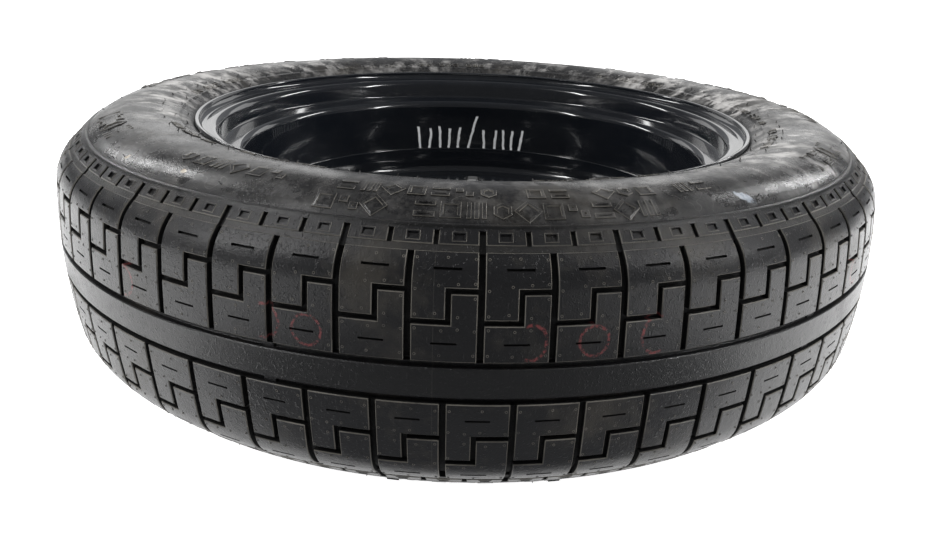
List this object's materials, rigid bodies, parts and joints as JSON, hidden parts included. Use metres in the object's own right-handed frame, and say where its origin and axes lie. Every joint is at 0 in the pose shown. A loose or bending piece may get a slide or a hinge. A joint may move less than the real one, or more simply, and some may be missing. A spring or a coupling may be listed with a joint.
{
  "type": "space saver spare wheel",
  "caption": "Narrow spare wheel: tyre with stepped block tread on a black steel rim with a pressed disc, centre bore, bolt holes, vents and a snap-in valve.",
  "frame": {"origin": "centre of the wheel: on its axis, in the tyre's centre plane", "axes": "+Z along the wheel's axis towards the vehicle side, which lies upwards; +X runs through the valve"},
  "size_m": [0.7809, 0.781, 0.219],
  "materials": {
    "tyre_rubber": "satin moulded rubber",
    "black_paint": "gloss",
    "valve_rubber": "satin",
    "brass": "dull",
    "cap_plastic": "matte"
  },
  "bodies": {
    "wheel": {"tyre": "tyre_rubber", "rim": "black_paint", "disc": "black_paint", "valve_stem": "valve_rubber", "valve_tube": "brass", "valve_core": "brass"},
    "cap": {"valve_cap": "cap_plastic"},
    "core_pin": {"valve_pin": "brass"}
  },
  "joints": [
    {"name": "valve_cap_pull", "type": "slide", "parent": "wheel", "child": "cap", "axis": [-0.7622, 0, -0.6473], "range_m": [0, 0.014]},
    {"name": "valve_pin_press", "type": "slide", "parent": "wheel", "child": "core_pin", "axis": [0.7622, 0, 0.6473], "range_m": [0, 0.0015], "stiffness_N_per_m": 1500, "springref_m": -0.001}
  ]
}
